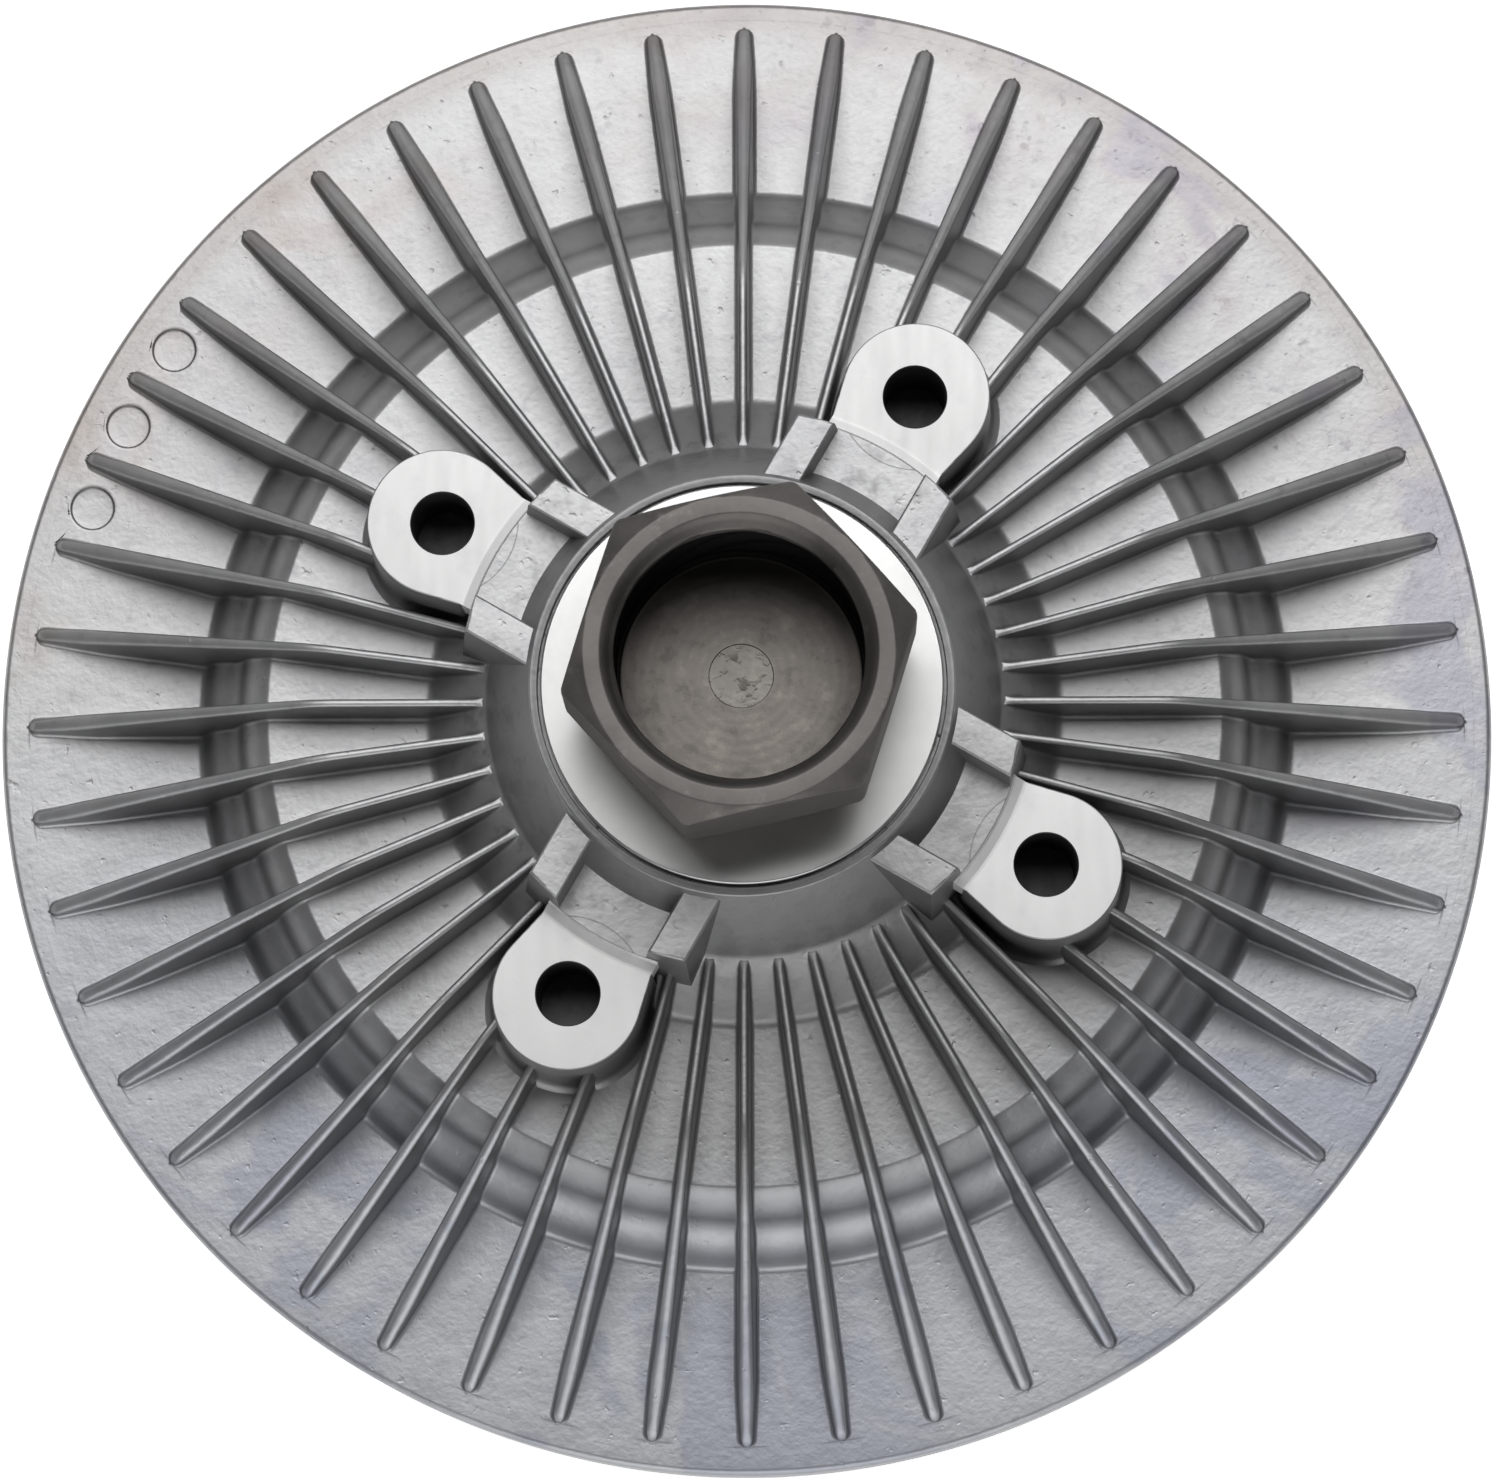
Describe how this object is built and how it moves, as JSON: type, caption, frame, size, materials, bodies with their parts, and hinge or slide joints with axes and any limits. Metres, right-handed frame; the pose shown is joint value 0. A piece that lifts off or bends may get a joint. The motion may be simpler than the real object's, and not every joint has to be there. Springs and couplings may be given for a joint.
{
  "type": "viscous fan clutch",
  "caption": "Round viscous fan clutch with a finned alloy housing, lugs for a bolted fan, a hexagon drive shaft with a threaded socket, and a coil-worked fluid valve on the front.",
  "frame": {"origin": "on the turning axis, in the plane of the front fins that the clutch rests on", "axes": "+Z along the turning axis towards the engine and the drive hexagon, +X along a rear fin, +Y along the fin a quarter turn on"},
  "size_m": [0.1816, 0.1816, 0.0794],
  "materials": {
    "housing_alloy": "as-cast satin",
    "cover_alloy": "as-cast satin",
    "rotor_alloy": "machined",
    "shaft_steel": "dark oiled steel",
    "shield_steel": "satin",
    "race_steel": "ground",
    "ball_steel": "polished",
    "cage_nylon": "moulded",
    "seal_rubber": "moulded",
    "clip_steel": "spring steel",
    "plate_steel": "pressed sheet",
    "wiper_plastic": "moulded",
    "bush_bronze": "sintered",
    "valve_steel": "ground",
    "coil_bimetal": "rolled strip"
  },
  "bodies": {
    "housing": {"rear_housing": "housing_alloy", "front_cover": "cover_alloy", "cover_seal": "seal_rubber", "pump_plate": "plate_steel", "plate_rivets": "valve_steel", "wiper_block": "wiper_plastic", "bearing_outer_race": "race_steel", "bearing_seal_rear": "seal_rubber", "bearing_seal_front": "seal_rubber", "bearing_clip": "clip_steel", "valve_bush": "bush_bronze", "valve_seal": "seal_rubber", "bimetal_coil": "coil_bimetal"},
    "drive": {"drive_shaft": "shaft_steel", "dust_shield": "shield_steel", "bearing_inner_race": "race_steel", "clutch_rotor": "rotor_alloy", "rotor_clip": "clip_steel"},
    "ball_train": {"bearing_balls": "ball_steel", "bearing_cage_rear": "cage_nylon", "bearing_cage_front": "cage_nylon"},
    "valve": {"valve_shaft": "valve_steel", "valve_arm": "plate_steel"}
  },
  "joints": [
    {"name": "drive_spin", "type": "hinge", "parent": "housing", "child": "drive", "pos_m": [0, 0, 0.0446], "axis": [0, 0, 1], "continuous": true},
    {"name": "ball_train_spin", "type": "hinge", "parent": "housing", "child": "ball_train", "pos_m": [0, 0, 0.0446], "axis": [0, 0, 1], "continuous": true},
    {"name": "valve_turn", "type": "hinge", "parent": "housing", "child": "valve", "pos_m": [0, 0, 0.012], "axis": [0, 0, 1], "range_deg": [0, 40], "stiffness_Nm_per_rad": 0.01, "deforming": ["bimetal_coil"]}
  ],
  "couplings": [
    {"joint": "ball_train_spin", "follows": "drive_spin", "ratio": 0.40968}
  ]
}
